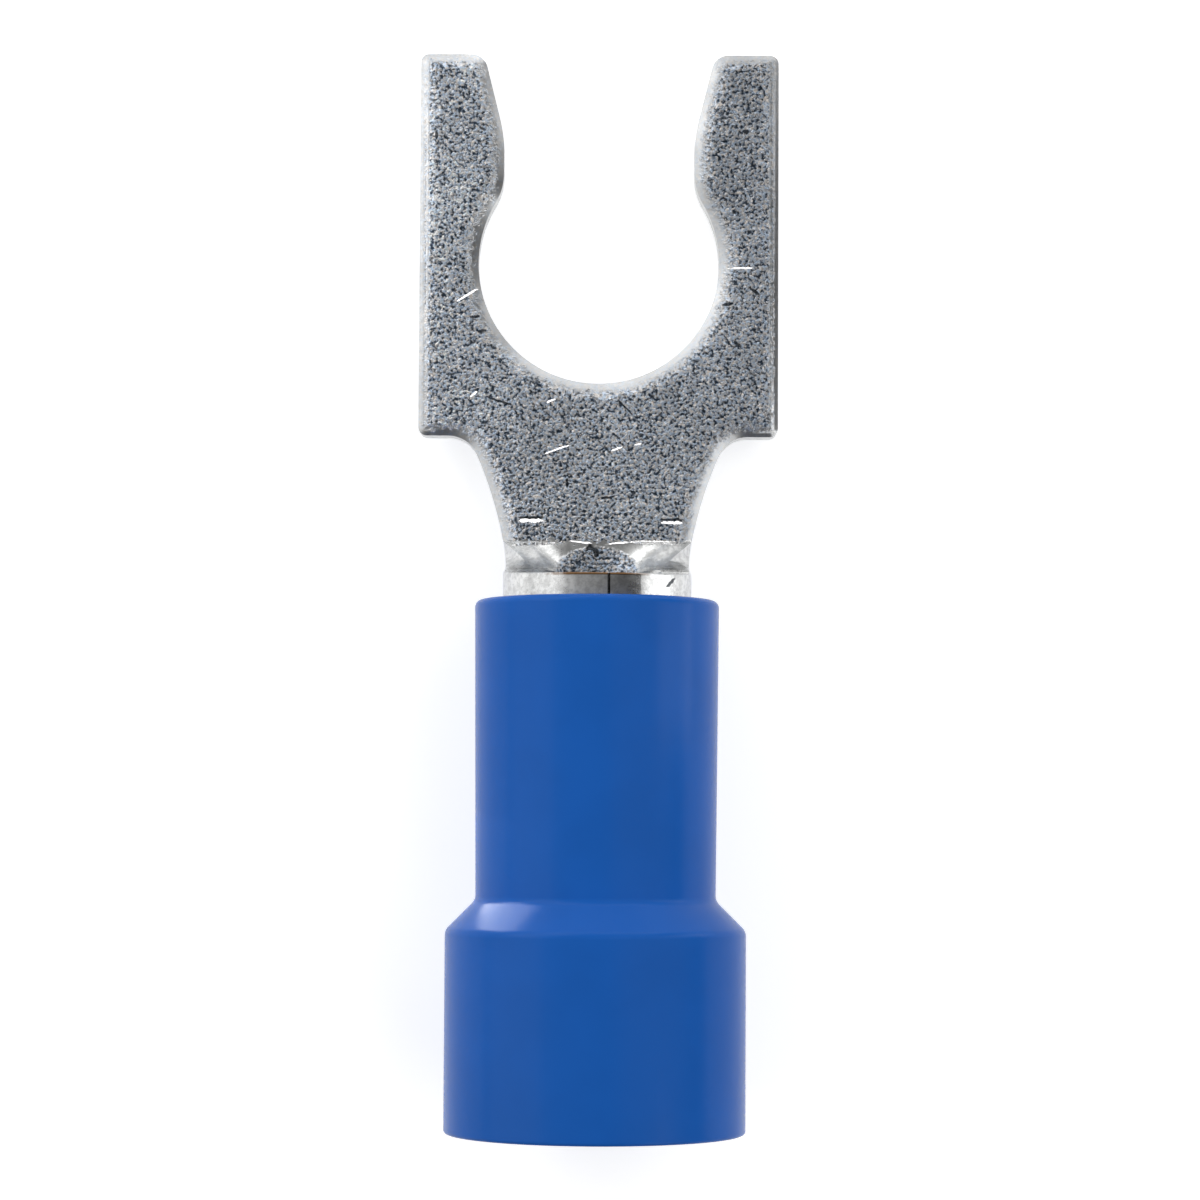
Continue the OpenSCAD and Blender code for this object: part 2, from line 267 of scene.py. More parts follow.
class Blank:
    """The flat sheet that the fork and barrel are cut from, and the bend that rolls it up."""

    SEAT_STEPS = 40
    ARC_STEPS = 12
    CORNER_STEPS = 8
    ROLL_STEPS = 8
    # How slowly the rounding's slope falls off from the cut edge; 1 is even
    ROLL_POWER = 1.25
    CURL_ROWS = 16
    WING_ROWS = 8
    COLUMNS = 72
    LEAST_R = 0.001 * MM
    # Flat strip that keeps the shading of the two faces flat
    STRIP = 0.04 * MM
    # Share of the edge's rounding that is left along the butted seam
    SEAM_SHARE = 0.3
    # Strip ahead of the crease that takes up the turn of the shading
    CREASE_STRIP = 0.07 * MM
    # Width of the sloping sides of a groove
    GROOVE_SIDE = 0.05 * MM
    # Points closer than this to a cutting plane lie on it
    CUT_REACH = MERGE / 4

    def __init__(self, fork, barrel):
        self.fork = fork
        self.barrel = barrel
        self.seat_r = fork.seat / 2
        self.half_throat = fork.throat / 2
        self.barrel_r = barrel.diameter / 2
        self.roll_r = self.barrel_r - fork.sheet / 2
        bump_x = self.half_throat + fork.bump_r
        self.bump = Vector((bump_x, math.sqrt((self.seat_r + fork.bump_r) ** 2 - bump_x**2)))
        self.seat_end = math.atan2(self.bump.y, self.bump.x)
        self.lead = Vector((self.half_throat + fork.lead_r, self.bump.y + fork.bump_l))
        self.crease_y = -(fork.shoulder + barrel.neck_l)
        self.wing_y = self.crease_y - barrel.curl_l
        self.barrel_y = self.wing_y - barrel.wing_l
        self.neck = polar((barrel.neck_w / 2, self.crease_y), barrel.neck_r, -barrel.neck_angle)
        fillet_y = -fork.shoulder - barrel.fillet_r
        reach = math.sqrt((barrel.neck_r - barrel.fillet_r) ** 2 - (fillet_y - self.neck.y) ** 2)
        self.fillet = Vector((self.neck.x - reach, fillet_y))
        across = self.fillet - self.neck
        self.fillet_end = math.atan2(across.y, across.x)

    def half_width(self, share):
        """Half the sheet's width where it has this share of the barrel's bend."""
        if share == 0:
            return self.barrel.neck_w / 2
        edge_x = self.barrel.neck_w / 2
        edge_x += (self.barrel_r * math.sin(self.barrel.edge_climb) - edge_x) * share
        bend_r = self.roll_r / share
        return bend_r * math.asin(edge_x / (bend_r + self.fork.sheet / 2))

    def corner(self, radius, inset):
        """Radius of a corner that is set in; one too tight for the flat strip becomes a point."""
        left = radius - inset
        return left if left > 2 * self.STRIP else self.LEAST_R

    def draw_half(self, bm, inset, height):
        """Draws the outline's right half, set in from the cut edge, from the seat to the barrel's end."""
        fork, barrel = self.fork, self.barrel
        outer_r = self.corner(fork.corner_r, inset)
        inner_r = self.corner(fork.tip_inner_r, inset)
        side_x = fork.width / 2 - inset
        tip_y = fork.tip - inset
        shoulder_y = inset - fork.shoulder
        lead_end = polar(self.lead, fork.lead_r - inset, math.pi - fork.lead_angle)
        tip_x = lead_end.x + (tip_y - lead_end.y) * math.tan(fork.lead_angle)

        pen = Pen(bm, 0, -(self.seat_r + inset), height)
        pen.arc((0, 0), self.seat_end + math.pi / 2, self.SEAT_STEPS)
        pen.arc(self.bump, -self.seat_end, self.ARC_STEPS)
        pen.line(self.half_throat + inset, self.lead.y)
        pen.arc(self.lead, -fork.lead_angle, self.ARC_STEPS)
        pen.rounded((tip_x, tip_y), (side_x, tip_y), inner_r, self.CORNER_STEPS)
        pen.rounded((side_x, tip_y), (side_x, shoulder_y), outer_r, self.CORNER_STEPS)
        pen.rounded((side_x, shoulder_y), (self.fillet.x, shoulder_y), outer_r, self.CORNER_STEPS)
        pen.line(self.fillet.x, shoulder_y)
        pen.arc(self.fillet, self.fillet_end - math.pi / 2, self.ARC_STEPS)
        pen.arc(self.neck, math.pi - barrel.neck_angle - self.fillet_end, self.ARC_STEPS)
        for row in range(1, self.CURL_ROWS + 1):
            share = row / self.CURL_ROWS
            pen.line(self.half_width(share) - inset, self.crease_y - barrel.curl_l * share)
        full_half = math.pi * self.roll_r - barrel.seam_gap / 2
        for row in range(1, self.WING_ROWS + 1):
            turn = math.pi / 2 * row / self.WING_ROWS
            swept = 1 - math.cos(turn)
            half = self.half_width(1) + (full_half - self.half_width(1)) * swept
            side_inset = inset * (1 - (1 - self.SEAM_SHARE) * swept)
            back = barrel.wing_l * math.sin(turn)
            pen.line(half - side_inset, self.wing_y - back - inset * math.sin(turn))
        pen.line(full_half - inset * self.SEAM_SHARE, inset - barrel.rear)
        pen.line(0, inset - barrel.rear)

    def edge_profile(self):
        """Insets and heights of the sheet's edge, from the underside to the flat of the upper face."""
        fork = self.fork
        profile = [(fork.edge_break, 0.0), (0.0, fork.edge_break)]
        fall = fork.roll_w * math.tan(fork.roll_angle)
        for step in range(self.ROLL_STEPS + 1):
            share = step / self.ROLL_STEPS
            drop = 1 - share - (1 - share ** (self.ROLL_POWER + 1)) / (self.ROLL_POWER + 1)
            profile.append((fork.roll_w * share, fork.sheet - fall * drop))
        return profile

    def stamp(self):
        """The flat sheet as a closed solid with its pressed edges."""
        bm = bmesh.new()
        rings = []
        for inset, height in self.edge_profile():
            before = {*bm.verts, *bm.edges}
            self.draw_half(bm, inset, height)
            half = [part for part in (*bm.verts, *bm.edges) if part not in before]
            bmesh.ops.mirror(bm, geom=half, axis="X", merge_dist=MERGE)
            rings.append([edge for edge in bm.edges if edge not in before])
        for lower, upper in zip(rings, rings[1:]):
            bmesh.ops.bridge_loops(bm, edges=lower + upper)
        bmesh.ops.remove_doubles(bm, verts=bm.verts, dist=MERGE)
        rims = [edge for edge in bm.edges if edge.is_boundary]
        flats = bmesh.ops.holes_fill(bm, edges=rims, sides=0)["faces"]
        bmesh.ops.recalc_face_normals(bm, faces=bm.faces)
        bmesh.ops.inset_region(bm, faces=flats, thickness=self.STRIP, use_even_offset=True)
        return bm

    def cut(self, bm, normal, distances, front_y):
        """Cuts the faces behind front_y by planes across the normal."""
        normal = Vector(normal)
        for distance in distances:
            faces = [face for face in bm.faces if all(vert.co.y < front_y for vert in face.verts)]
            # A dict keeps its order, so that each run cuts alike
            edges = dict.fromkeys(edge for face in faces for edge in face.edges)
            verts = dict.fromkeys(vert for face in faces for vert in face.verts)
            bmesh.ops.bisect_plane(
                bm, geom=[*verts, *edges, *faces], dist=self.CUT_REACH,
                plane_co=normal * distance, plane_no=normal,
            )

    def press_grooves(self, bm):
        """Presses the gripping grooves across the face that becomes the inside of the barrel."""
        barrel = self.barrel
        middle = (self.barrel_y - barrel.rear) / 2
        for number in range(barrel.grooves):
            centre = middle + (number - (barrel.grooves - 1) / 2) * barrel.groove_pitch
            half = barrel.groove_w / 2
            inner = half - self.GROOVE_SIDE
            sides = [centre - half, centre - inner, centre + inner, centre + half]
            self.cut(bm, (0, 1, 0), sides, self.barrel_y)
            floor = [
                vert for vert in bm.verts
                if abs(vert.co.y - centre) < inner + MERGE and vert.co.z > self.fork.sheet - MERGE
            ]
            bmesh.ops.translate(bm, verts=floor, vec=(0, 0, -barrel.groove_depth))

    def curled(self, point):
        """Where a point of the flat sheet lies once the barrel is rolled."""
        across, y, height = point
        share = min((self.crease_y - y) / self.barrel.curl_l, 1.0)
        swept = min(max((self.wing_y - y) / self.barrel.wing_l, 0.0), 1.0)
        across -= self.roll_r * self.barrel.seam_turn * swept
        bend_r = self.roll_r / share
        turn = across / bend_r
        radius = bend_r + self.fork.sheet / 2 - height
        return radius * math.sin(turn), y, bend_r + self.fork.sheet / 2 - radius * math.cos(turn)

    def roll(self, bm):
        """Cuts the sheet into rows and columns behind the crease and rolls it up."""
        barrel = self.barrel
        everywhere = self.fork.tip + MERGE
        behind = self.crease_y + MERGE
        rows = [self.crease_y - barrel.curl_l * row / self.CURL_ROWS for row in range(self.CURL_ROWS + 1)]
        rows += [self.crease_y + self.CREASE_STRIP, self.barrel_y]
        self.cut(bm, (0, 1, 0), rows, everywhere)
        self.press_grooves(bm)
        full_half = math.pi * self.roll_r
        columns = [full_half * (2 * column / self.COLUMNS - 1) for column in range(1, self.COLUMNS)]
        self.cut(bm, (1, 0, 0), columns, behind)
        for vert in bm.verts:
            if vert.co.y < self.crease_y - MERGE:
                vert.co = self.curled(vert.co)


def settle_order(bm):
    """Lists edges and faces in the order of their points, so that each run lists them alike."""
    bm.verts.index_update()
    for parts in (bm.edges, bm.faces):
        order = sorted(parts, key=lambda part: sorted(vert.index for vert in part.verts))
        for number, part in enumerate(order):
            part.index = number
        parts.sort()


def sleeve_mesh(sizes, axis_z):
    """The sleeve's wall, drawn as a profile and spun round the barrel's axis."""
    front, rear = SLEEVE_HIGH.y, SLEEVE_LOW.y
    slope = math.tan(sizes.step_angle)
    step_end = Vector((sizes.bell_r, rear + sizes.step))
    step_start = Vector((sizes.grip_r, step_end.y + (sizes.bell_r - sizes.grip_r) / slope))
    funnel_end = Vector((sizes.bell_bore_r, rear + sizes.funnel))
    funnel_start = Vector((sizes.bore_r, funnel_end.y + (sizes.bell_bore_r - sizes.bore_r) / slope))
    bm = bmesh.new()
    pen = Pen(bm, sizes.bore_r, front)
    first = pen.tip
    pen.rounded((sizes.front_r, front), step_start, sizes.front_rim_r, RIM_STEPS)
    pen.rounded(step_start, step_end, sizes.step_r, RIM_STEPS)
    pen.rounded(step_end, (sizes.bell_r, rear), sizes.step_r, RIM_STEPS)
    pen.rounded((sizes.bell_r, rear), (sizes.bell_bore_r, rear), sizes.rear_rim_r, RIM_STEPS)
    pen.rounded((sizes.bell_bore_r, rear), funnel_end, sizes.rear_rim_r, RIM_STEPS)
    pen.line(*funnel_end)
    pen.line(*funnel_start)
    bm.edges.new((pen.tip, first))
    bmesh.ops.spin(
        bm, geom=[*bm.verts, *bm.edges], cent=(0, 0, 0), axis=(0, 1, 0), angle=math.tau,
        steps=SPIN_STEPS, use_merge=True,
    )
    bmesh.ops.remove_doubles(bm, verts=bm.verts, dist=MERGE)
    bmesh.ops.recalc_face_normals(bm, faces=bm.faces)
    bmesh.ops.translate(bm, verts=bm.verts, vec=(0, 0, axis_z))
    settle_order(bm)
    return bm


def feed(tree, socket, value):
    """Sets a socket to a value, or links it to the socket that feeds it."""
    if isinstance(value, bpy.types.NodeSocket):
        tree.links.new(value, socket)
    else:
        socket.default_value = value


def add_node(tree, kind, inputs=None, **settings):
    """Adds a node; an input is a value or the socket that feeds it."""
    node = tree.nodes.new(kind)
    for name, value in settings.items():
        setattr(node, name, value)
    for name, value in (inputs or {}).items():
        feed(tree, node.inputs[name], value)
    return node


def math_node(tree, operation, *values, clamp=False):
    """The result of a Math node."""
    return add_node(
        tree, "ShaderNodeMath", dict(enumerate(values)), operation=operation, use_clamp=clamp
    ).outputs[0]


def inverted(tree, mask):
    """What a mask leaves out."""
    return math_node(tree, "SUBTRACT", 1.0, mask)


def ramp(tree, value, start, end, low=0.0, high=1.0):
    """Maps a value smoothly from one span to another."""
    return add_node(
        tree,
        "ShaderNodeMapRange",
        {"Value": value, "From Min": start, "From Max": end, "To Min": low, "To Max": high},
        interpolation_type="SMOOTHSTEP",
    ).outputs["Result"]


def noise(tree, place, scale, detail, roughness):
    """A field of noise; the scale is in cells to a millimetre."""
    return add_node(
        tree, "ShaderNodeTexNoise", {"Vector": place, "Scale": scale, "Detail": detail, "Roughness": roughness}
    ).outputs["Fac"]


def sway(tree, field, reach):
    """Spreads a field of noise as far as this to either side of nought."""
    return math_node(tree, "MULTIPLY_ADD", field, 2 * reach, -reach)


def blend(tree, factor, first, second, mode="MIX"):
    """Mixes two colours."""
    node = add_node(tree, "ShaderNodeMix", data_type="RGBA", blend_type=mode)
    for name, value in (("Factor_Float", factor), ("A_Color", first), ("B_Color", second)):
        feed(tree, next(entry for entry in node.inputs if entry.identifier == name), value)
    return next(entry for entry in node.outputs if entry.identifier == "Result_Color")


def rgba(values, shade=1.0):
    """A colour made lighter or darker, for a colour socket."""
    return (*(shade * part for part in values), 1.0)


def new_material(name):
    """A material with an empty node tree, and its coordinates in millimetres."""
    material = bpy.data.materials.new(name)
    material.use_nodes = True
    tree = material.node_tree
    tree.nodes.clear()
    coordinates = add_node(tree, "ShaderNodeTexCoord")
    place = add_node(
        tree, "ShaderNodeMapping", {"Vector": coordinates.outputs["Object"], "Scale": (1 / MM,) * 3}
    ).outputs["Vector"]
    return material, tree, coordinates, place


def end_surface(tree, inputs):
    """Ends a material's tree with its shader."""
    shader = add_node(tree, "ShaderNodeBsdfPrincipled", inputs)
    add_node(tree, "ShaderNodeOutputMaterial", {"Surface": shader.outputs["BSDF"]})


def mark_group():
    """A node group that masks one short straight mark on the upper face."""
    tree = bpy.data.node_groups.new("straight_mark", "ShaderNodeTree")
    for name in ("Place", "Centre", "Turn", "Half Size"):
        tree.interface.new_socket(name, in_out="INPUT", socket_type="NodeSocketVector")
    for name in ("Mask", "Facet"):
        tree.interface.new_socket(name, in_out="OUTPUT", socket_type="NodeSocketFloat")
    given = add_node(tree, "NodeGroupInput").outputs
    offset = add_node(
        tree,
        "ShaderNodeMapping",
        {
            "Vector": given["Place"], "Location": given["Centre"], "Rotation": given["Turn"],
            "Scale": given["Half Size"],
        },
        vector_type="TEXTURE",
    ).outputs["Vector"]
    axes = add_node(tree, "ShaderNodeSeparateXYZ", {"Vector": offset}).outputs
    half = add_node(tree, "ShaderNodeSeparateXYZ", {"Vector": given["Half Size"]}).outputs
    fray = sway(tree, noise(tree, given["Place"], *FRAY_NOISE), FRAY)
    across = math_node(tree, "ADD", axes["Y"], fray)
    reach = math_node(
        tree, "ADD", math_node(tree, "POWER", math_node(tree, "ABSOLUTE", axes["X"]), BLUNTNESS),
        math_node(tree, "MULTIPLY", across, across),
    )
    mask = ramp(tree, reach, *MARK_SPAN)
    lie = math_node(tree, "MULTIPLY", axes["Y"], half["Y"])
    add_node(tree, "NodeGroupOutput", {"Mask": mask, "Facet": math_node(tree, "MULTIPLY", mask, lie)})
    return tree


def fold_marks(tree, group, place, marks, **wanted):
    """Folds outputs of several marks, each by its own operation, into one value each."""
    totals = dict.fromkeys(wanted, 0.0)
    for x, y, long, wide, turn in marks:
        mark = add_node(
            tree,
            "ShaderNodeGroup",
            {
                "Place": place, "Centre": (x, y, 0.0), "Turn": (0.0, 0.0, math.radians(turn)),
                "Half Size": (long / 2, wide / 2, 1.0),
            },
            node_tree=group,
        )
        for name, operation in wanted.items():
            totals[name] = math_node(tree, operation, totals[name], mark.outputs[name])
    return totals.values()


class TinPlate:
    """Dull, finely grained tin plate that is burnished where the sheet is pressed or rolled."""

    # Noises: cells to a millimetre, detail and roughness
    UNEVEN_NOISE = 7.0, 3.0, 0.7
    GRAIN_NOISE = 16.0, 2.0, 0.5
    SPOT_NOISE = 5.0, 3.0, 0.7
    PAINTED_GLINT_NOISE = 11.0, 1.0, 0.5
    TINT_NOISE = 15.0, 1.0, 0.5
    PATCH_NOISE = 0.55, 3.0, 0.6
    # How far borders wander to either side, and the share of it along the pressed edges
    WANDER = 0.25
    EDGE_WANDER = 0.5
    # Upward share of the normal on level sheet, along the pressed edges and on upper faces
    LEVEL_SPAN = 0.7, 0.85
    EDGE_SPAN = 0.99, 0.84
    UPPER_SPAN = 0.5, 0.6
    # Half the width of the border along the crease, in millimetres
    CREASE_HALF = 0.03
    # Patch of dull plate that runs back into the mouth of the barrel, and its top, in millimetres; its border
    ARCH_HALF = 0.9
    ARCH_RISE = 0.55
    ARCH_TOP = 1.4, 1.1
    ARCH_SPAN = 1.1, 0.8
    # Speckle: the share of the coarse spots, what the pressed edges add, and where it turns from dark to light
    SPOT_SHARE = 0.4
    EDGE_SPECKLE = 0.2
    SPECKLE_SPAN = 0.35, 0.62
    # Painted glints: white specks in the grain, where their noise crosses this span
    PAINTED_GLINT_SPAN = 0.56, 0.65
    COOL_TINT = 0.85, 0.98, 1.15, 1.0
    WARM_TINT = 1.1, 1.0, 0.91, 1.0
    # How much painted shade darkens the patch in the mouth, and how much the pressed edges are smoothed
    ARCH_PAINTED_SHADE = 0.15
    EDGE_SMOOTH = 0.7
    # Cloudiness of the burnished tin
    SMOOTH_SPAN = 0.35, 0.65
    SMOOTH_SHADES = 0.8, 1.1
    # Shades of the dull plate: in patches; a painted shade, darker from left to right, over a span in
    # millimetres; and towards the pressed edges
    PATCH_SHADES = 0.84, 1.1
    SIDE_SPAN = -3.5, 3.5
    SIDE_PAINTED_SHADES = 1.02, 0.72
    EDGE_SHADES = 1.0, 0.85
    # Strength of the dark marks, partly painted shade, and their shade of the dark grain
    DARK_STRENGTH = 0.9
    DARK_SHADE = 0.3
    # Painted shade of the gap under the barrel's front edge, as a dark brown band on its top, in millimetres:
    # behind the barrel's front, above the underside, and to either side
    CUT_DEPTH = 0.06, 0.03
    CUT_HEIGHT = 2.8, 3.2
    CUT_SIDE = 1.15, 0.6
    # Roughness of flat and rolled sheet, and what the patch, the pressed edges and the light marks add to it
    SHEET_ROUGH = 0.4, 0.3
    ARCH_ROUGH = 0.15
    EDGE_ROUGH = -0.06
    LIGHT_ROUGH = -0.2
    # Depth of the grain in millimetres, what the patch takes from it, and the slope of a light mark's facet
    GRAIN_DEPTH = 0.03
    ARCH_RELIEF = -0.5
    FACET_SLOPE = 0.6

    def __init__(self, finishes, blank):
        self.finishes = finishes
        self.material, self.tree, coordinates, self.place = new_material("tin_plate")
        self.across, self.along, self.height = add_node(
            self.tree, "ShaderNodeSeparateXYZ", {"Vector": self.place}
        ).outputs
        self.upward = add_node(
            self.tree, "ShaderNodeSeparateXYZ", {"Vector": coordinates.outputs["Normal"]}
        ).outputs["Z"]
        self.uneven = noise(self.tree, self.place, *self.UNEVEN_NOISE)
        self.wander = sway(self.tree, self.uneven, self.WANDER)
        self.map_regions(blank.crease_y / MM, blank.wing_y / MM)
        base = self.add_marks(self.plate_colour())
        base = self.paint_gap_shade(base, blank.barrel_y / MM)
        end_surface(
            self.tree,
            {"Base Color": base, "Roughness": self.roughness(), "Metallic": 1.0, "Normal": self.relief()},
        )

    def map_regions(self, crease, mouth):
        """Masks of the dull plate, the pressed edges, the rolled sheet and the patch in the barrel's mouth."""
        tree, wander = self.tree, self.wander
        flat = math_node(tree, "ABSOLUTE", self.upward)
        level = ramp(tree, math_node(tree, "ADD", flat, wander), *self.LEVEL_SPAN)
        edge = ramp(tree, math_node(tree, "MULTIPLY_ADD", wander, self.EDGE_WANDER, flat), *self.EDGE_SPAN)
        border = crease - self.CREASE_HALF, crease + self.CREASE_HALF
        ahead = ramp(tree, math_node(tree, "ADD", self.along, wander), *border)
        arch_x = math_node(tree, "DIVIDE", self.across, self.ARCH_HALF)
        arch_y = math_node(tree, "DIVIDE", math_node(tree, "SUBTRACT", self.along, mouth), self.ARCH_RISE)
        reach = math_node(
            tree, "ADD", math_node(tree, "MULTIPLY", arch_x, arch_x),
            math_node(tree, "MULTIPLY", arch_y, arch_y),
        )
        arch = ramp(tree, math_node(tree, "ADD", reach, wander), *self.ARCH_SPAN)
        self.arch = math_node(tree, "MULTIPLY", arch, ramp(tree, self.height, *self.ARCH_TOP))
        self.dull = math_node(tree, "MAXIMUM", math_node(tree, "MULTIPLY", level, ahead), self.arch)
        self.rolled = inverted(tree, math_node(tree, "MAXIMUM", ahead, self.arch))
        self.edge = math_node(tree, "MULTIPLY", edge, inverted(tree, self.arch))

    def plate_colour(self):
        """Grained where the plate is dull, plain tin where it is burnished; with painted glints in the grain,
        and painted shade in the barrel's mouth and towards the right side.
        """
        tree, place, finishes = self.tree, self.place, self.finishes
        dark = rgba(finishes.grain_dark)
        grain = math_node(tree, "SUBTRACT", noise(tree, place, *self.GRAIN_NOISE), self.SPOT_SHARE / 2)
        spots = noise(tree, place, *self.SPOT_NOISE)
        speckle = math_node(tree, "MULTIPLY_ADD", spots, self.SPOT_SHARE, grain)
        speckle = math_node(tree, "MULTIPLY_ADD", self.edge, self.EDGE_SPECKLE, speckle)
        self.speckle = ramp(tree, speckle, *self.SPECKLE_SPAN)
        grained = blend(tree, self.speckle, dark, rgba(finishes.grain_light))
        # Painted glints: white specks in the grain
        painted_glints = ramp(tree, noise(tree, place, *self.PAINTED_GLINT_NOISE), *self.PAINTED_GLINT_SPAN)
        grained = blend(tree, painted_glints, grained, WHITE)
        hue = ramp(tree, noise(tree, place, *self.TINT_NOISE), *NOISE_SPAN)
        tint = blend(tree, hue, self.COOL_TINT, self.WARM_TINT)
        grained = blend(tree, 1.0, grained, tint, "MULTIPLY")
        # Painted shade: the patch in the barrel's mouth is darkened towards the dark grain
        grained = blend(tree, math_node(tree, "MULTIPLY", self.arch, self.ARCH_PAINTED_SHADE), grained, dark)
        shades = (rgba(finishes.tin, shade) for shade in self.SMOOTH_SHADES)
        smooth = blend(tree, ramp(tree, self.uneven, *self.SMOOTH_SPAN), *shades)
        grained = blend(tree, math_node(tree, "MULTIPLY", self.edge, self.EDGE_SMOOTH), grained, smooth)
        shade = ramp(tree, noise(tree, place, *self.PATCH_NOISE), *NOISE_SPAN, *self.PATCH_SHADES)
        # Painted shade: the dull plate grows darker from left to right
        side = ramp(tree, self.across, *self.SIDE_SPAN, *self.SIDE_PAINTED_SHADES)
        shade = math_node(tree, "MULTIPLY", shade, side)
        shade = math_node(tree, "MULTIPLY", shade, ramp(tree, self.edge, 0.0, 1.0, *self.EDGE_SHADES))
        grey = dict.fromkeys(("Red", "Green", "Blue"), shade)
        grey = add_node(tree, "ShaderNodeCombineColor", grey).outputs["Color"]
        grained = blend(tree, 1.0, grained, grey, "MULTIPLY")
        return blend(tree, self.dull, smooth, grained)

    def add_marks(self, base):
        """Marks the upper faces with scratches and spots, and with painted highlights and painted shade on
        pressed grooves and the crease.
        """
        tree = self.tree
        upper = ramp(tree, self.upward, *self.UPPER_SPAN)
        group = mark_group()
        light, self.facets = fold_marks(tree, group, self.place, LIGHT_MARKS_AND_HIGHLIGHTS, Mask="MAXIMUM", Facet="ADD")
        self.light = math_node(tree, "MULTIPLY", light, upper)
        (dark,) = fold_marks(tree, group, self.place, DARK_MARKS_AND_SHADE, Mask="MAXIMUM")
        dark = math_node(tree, "MULTIPLY", dark, upper)
        dark = math_node(tree, "MULTIPLY", dark, self.DARK_STRENGTH)
        # Dark marks, some of them painted shade on the grooves' far walls
        base = blend(tree, dark, base, rgba(self.finishes.grain_dark, self.DARK_SHADE))
        # Light marks painted white, some of them painted highlights on the grooves and the crease
        return blend(tree, self.light, base, WHITE)

    def paint_gap_shade(self, base, front):
        """Paints the shade of the gap under the barrel's front edge as a dark brown band on its top."""
        tree = self.tree
        depth = ramp(tree, self.along, *(front - part for part in self.CUT_DEPTH))
        cut = math_node(tree, "MULTIPLY", depth, ramp(tree, self.height, *self.CUT_HEIGHT))
        aside = math_node(tree, "ADD", math_node(tree, "ABSOLUTE", self.across), self.wander)
        cut = math_node(tree, "MULTIPLY", cut, ramp(tree, aside, *self.CUT_SIDE))
        # Painted shade: a dark brown band along the barrel's front edge
        return blend(tree, cut, base, rgba(self.finishes.painted_gap_shade))

    def roughness(self):
        """Duller in the barrel's mouth, smoother on rolled sheet, pressed edges and light marks."""
        tree = self.tree
        total = ramp(tree, self.rolled, 0.0, 1.0, *self.SHEET_ROUGH)
        total = math_node(tree, "MULTIPLY_ADD", self.arch, self.ARCH_ROUGH, total)
        total = math_node(tree, "MULTIPLY_ADD", self.edge, self.EDGE_ROUGH, total)
        return math_node(tree, "MULTIPLY_ADD", self.light, self.LIGHT_ROUGH, total)

    def relief(self):
        """The normal over the grain of the dull plate and the facets of the light marks."""
        tree = self.tree
        coarse = math_node(tree, "MULTIPLY", self.dull, inverted(tree, self.edge))
        kept = math_node(tree, "MULTIPLY_ADD", self.arch, self.ARCH_RELIEF, 1.0)
        coarse = math_node(tree, "MULTIPLY", coarse, kept)
        coarse = math_node(tree, "MULTIPLY", coarse, inverted(tree, self.light))
        coarse = math_node(tree, "MULTIPLY", self.speckle, coarse)
        height = math_node(tree, "MULTIPLY", coarse, self.GRAIN_DEPTH)
        height = math_node(tree, "MULTIPLY_ADD", self.facets, -self.FACET_SLOPE, height)
        return add_node(tree, "ShaderNodeBump", {"Distance": MM, "Height": height}).outputs["Normal"]


def plastic_material(finishes):
    """Satin blue plastic with a faint unevenness from the mould."""
    material, tree, _, place = new_material("blue_plastic")
    cloud = noise(tree, place, *CLOUD_NOISE)
    fine = noise(tree, place, *MOULD_NOISE)
    shades = (rgba(finishes.blue, shade) for shade in CLOUD_SHADES)
    base = blend(tree, ramp(tree, cloud, *NOISE_SPAN), *shades)
    roughness = ramp(tree, fine, *NOISE_SPAN, *MOULD_ROUGH)
    bump = add_node(
        tree, "ShaderNodeBump", {"Strength": 0.08, "Distance": 0.01 * MM, "Height": fine}
    ).outputs["Normal"]
    end_surface(
        tree,
        {"Base Color": base, "Roughness": roughness, "IOR": 1.46, "Specular IOR Level": 0.12, "Normal": bump},
    )
    return material


def finish_piece(bm, name, node, material):
    """Turns a mesh into a piece that stands for a CAD node."""
    for face in bm.faces:
        face.smooth = True
    for edge in bm.edges:
        edge.smooth = edge.calc_face_angle(0.0) < SHARP_ANGLE
    mesh = bpy.data.meshes.new(name)
    bm.to_mesh(mesh)
    bm.free()
    mesh.materials.append(material)
    piece = bpy.data.objects.new(name, mesh)
    bpy.context.collection.objects.link(piece)
    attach(piece, "root")
    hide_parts(node)
    return piece


class BuildMetal(bpy.types.Operator):
    """Stamp the fork from sheet and roll its back end into the barrel"""

    bl_idname = "fork_terminal.metal"
    bl_label = "Fork and Barrel"

    def execute(self, context):
        settings = context.scene.fork_terminal
        blank = Blank(settings.fork, settings.barrel)
        bm = blank.stamp()
        blank.roll(bm)
        bmesh.ops.recalc_face_normals(bm, faces=bm.faces)
        plate = TinPlate(settings.finishes, blank)
        finish_piece(bm, "fork_and_barrel", "metal_terminal", plate.material)
        return {"FINISHED"}


class BuildSleeve(bpy.types.Operator):
    """Spin the insulating sleeve round the barrel's axis"""

    bl_idname = "fork_terminal.sleeve"
    bl_label = "Insulating Sleeve"

    def execute(self, context):
        settings = context.scene.fork_terminal
        bm = sleeve_mesh(settings.sleeve, settings.barrel.diameter / 2)
        finish_piece(bm, "sleeve", "insulating_sleeve", plastic_material(settings.finishes))
        return {"FINISHED"}


